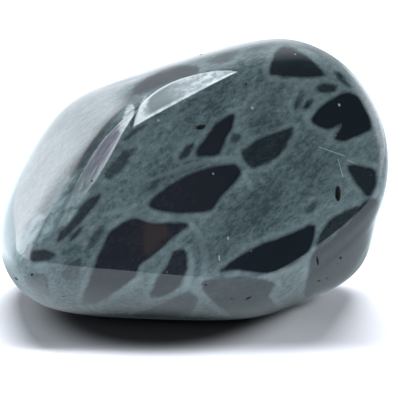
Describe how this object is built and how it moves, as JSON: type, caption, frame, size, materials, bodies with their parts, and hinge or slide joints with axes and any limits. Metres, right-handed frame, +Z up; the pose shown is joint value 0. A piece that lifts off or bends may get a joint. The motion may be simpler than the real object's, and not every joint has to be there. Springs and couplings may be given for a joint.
{
  "type": "tumbled stone",
  "caption": "Polished tumbled pebble of spider obsidian, a slanting egg shape with a blunt nose, dark fragments in a grey-green web, resting on a small flat spot.",
  "frame": {"origin": "middle of the stone's box, on the plane of the small flat spot that it rests on", "axes": "+Z up, +X along the stone's length towards its high rounded end, -Y out of its broad front face"},
  "size_m": [0.03, 0.0202, 0.0211],
  "materials": {
    "stone": "tumble-polished volcanic glass: grey-green web with near-black fragments"
  },
  "bodies": {
    "root": {"stone": "stone"}
  },
  "joints": []
}
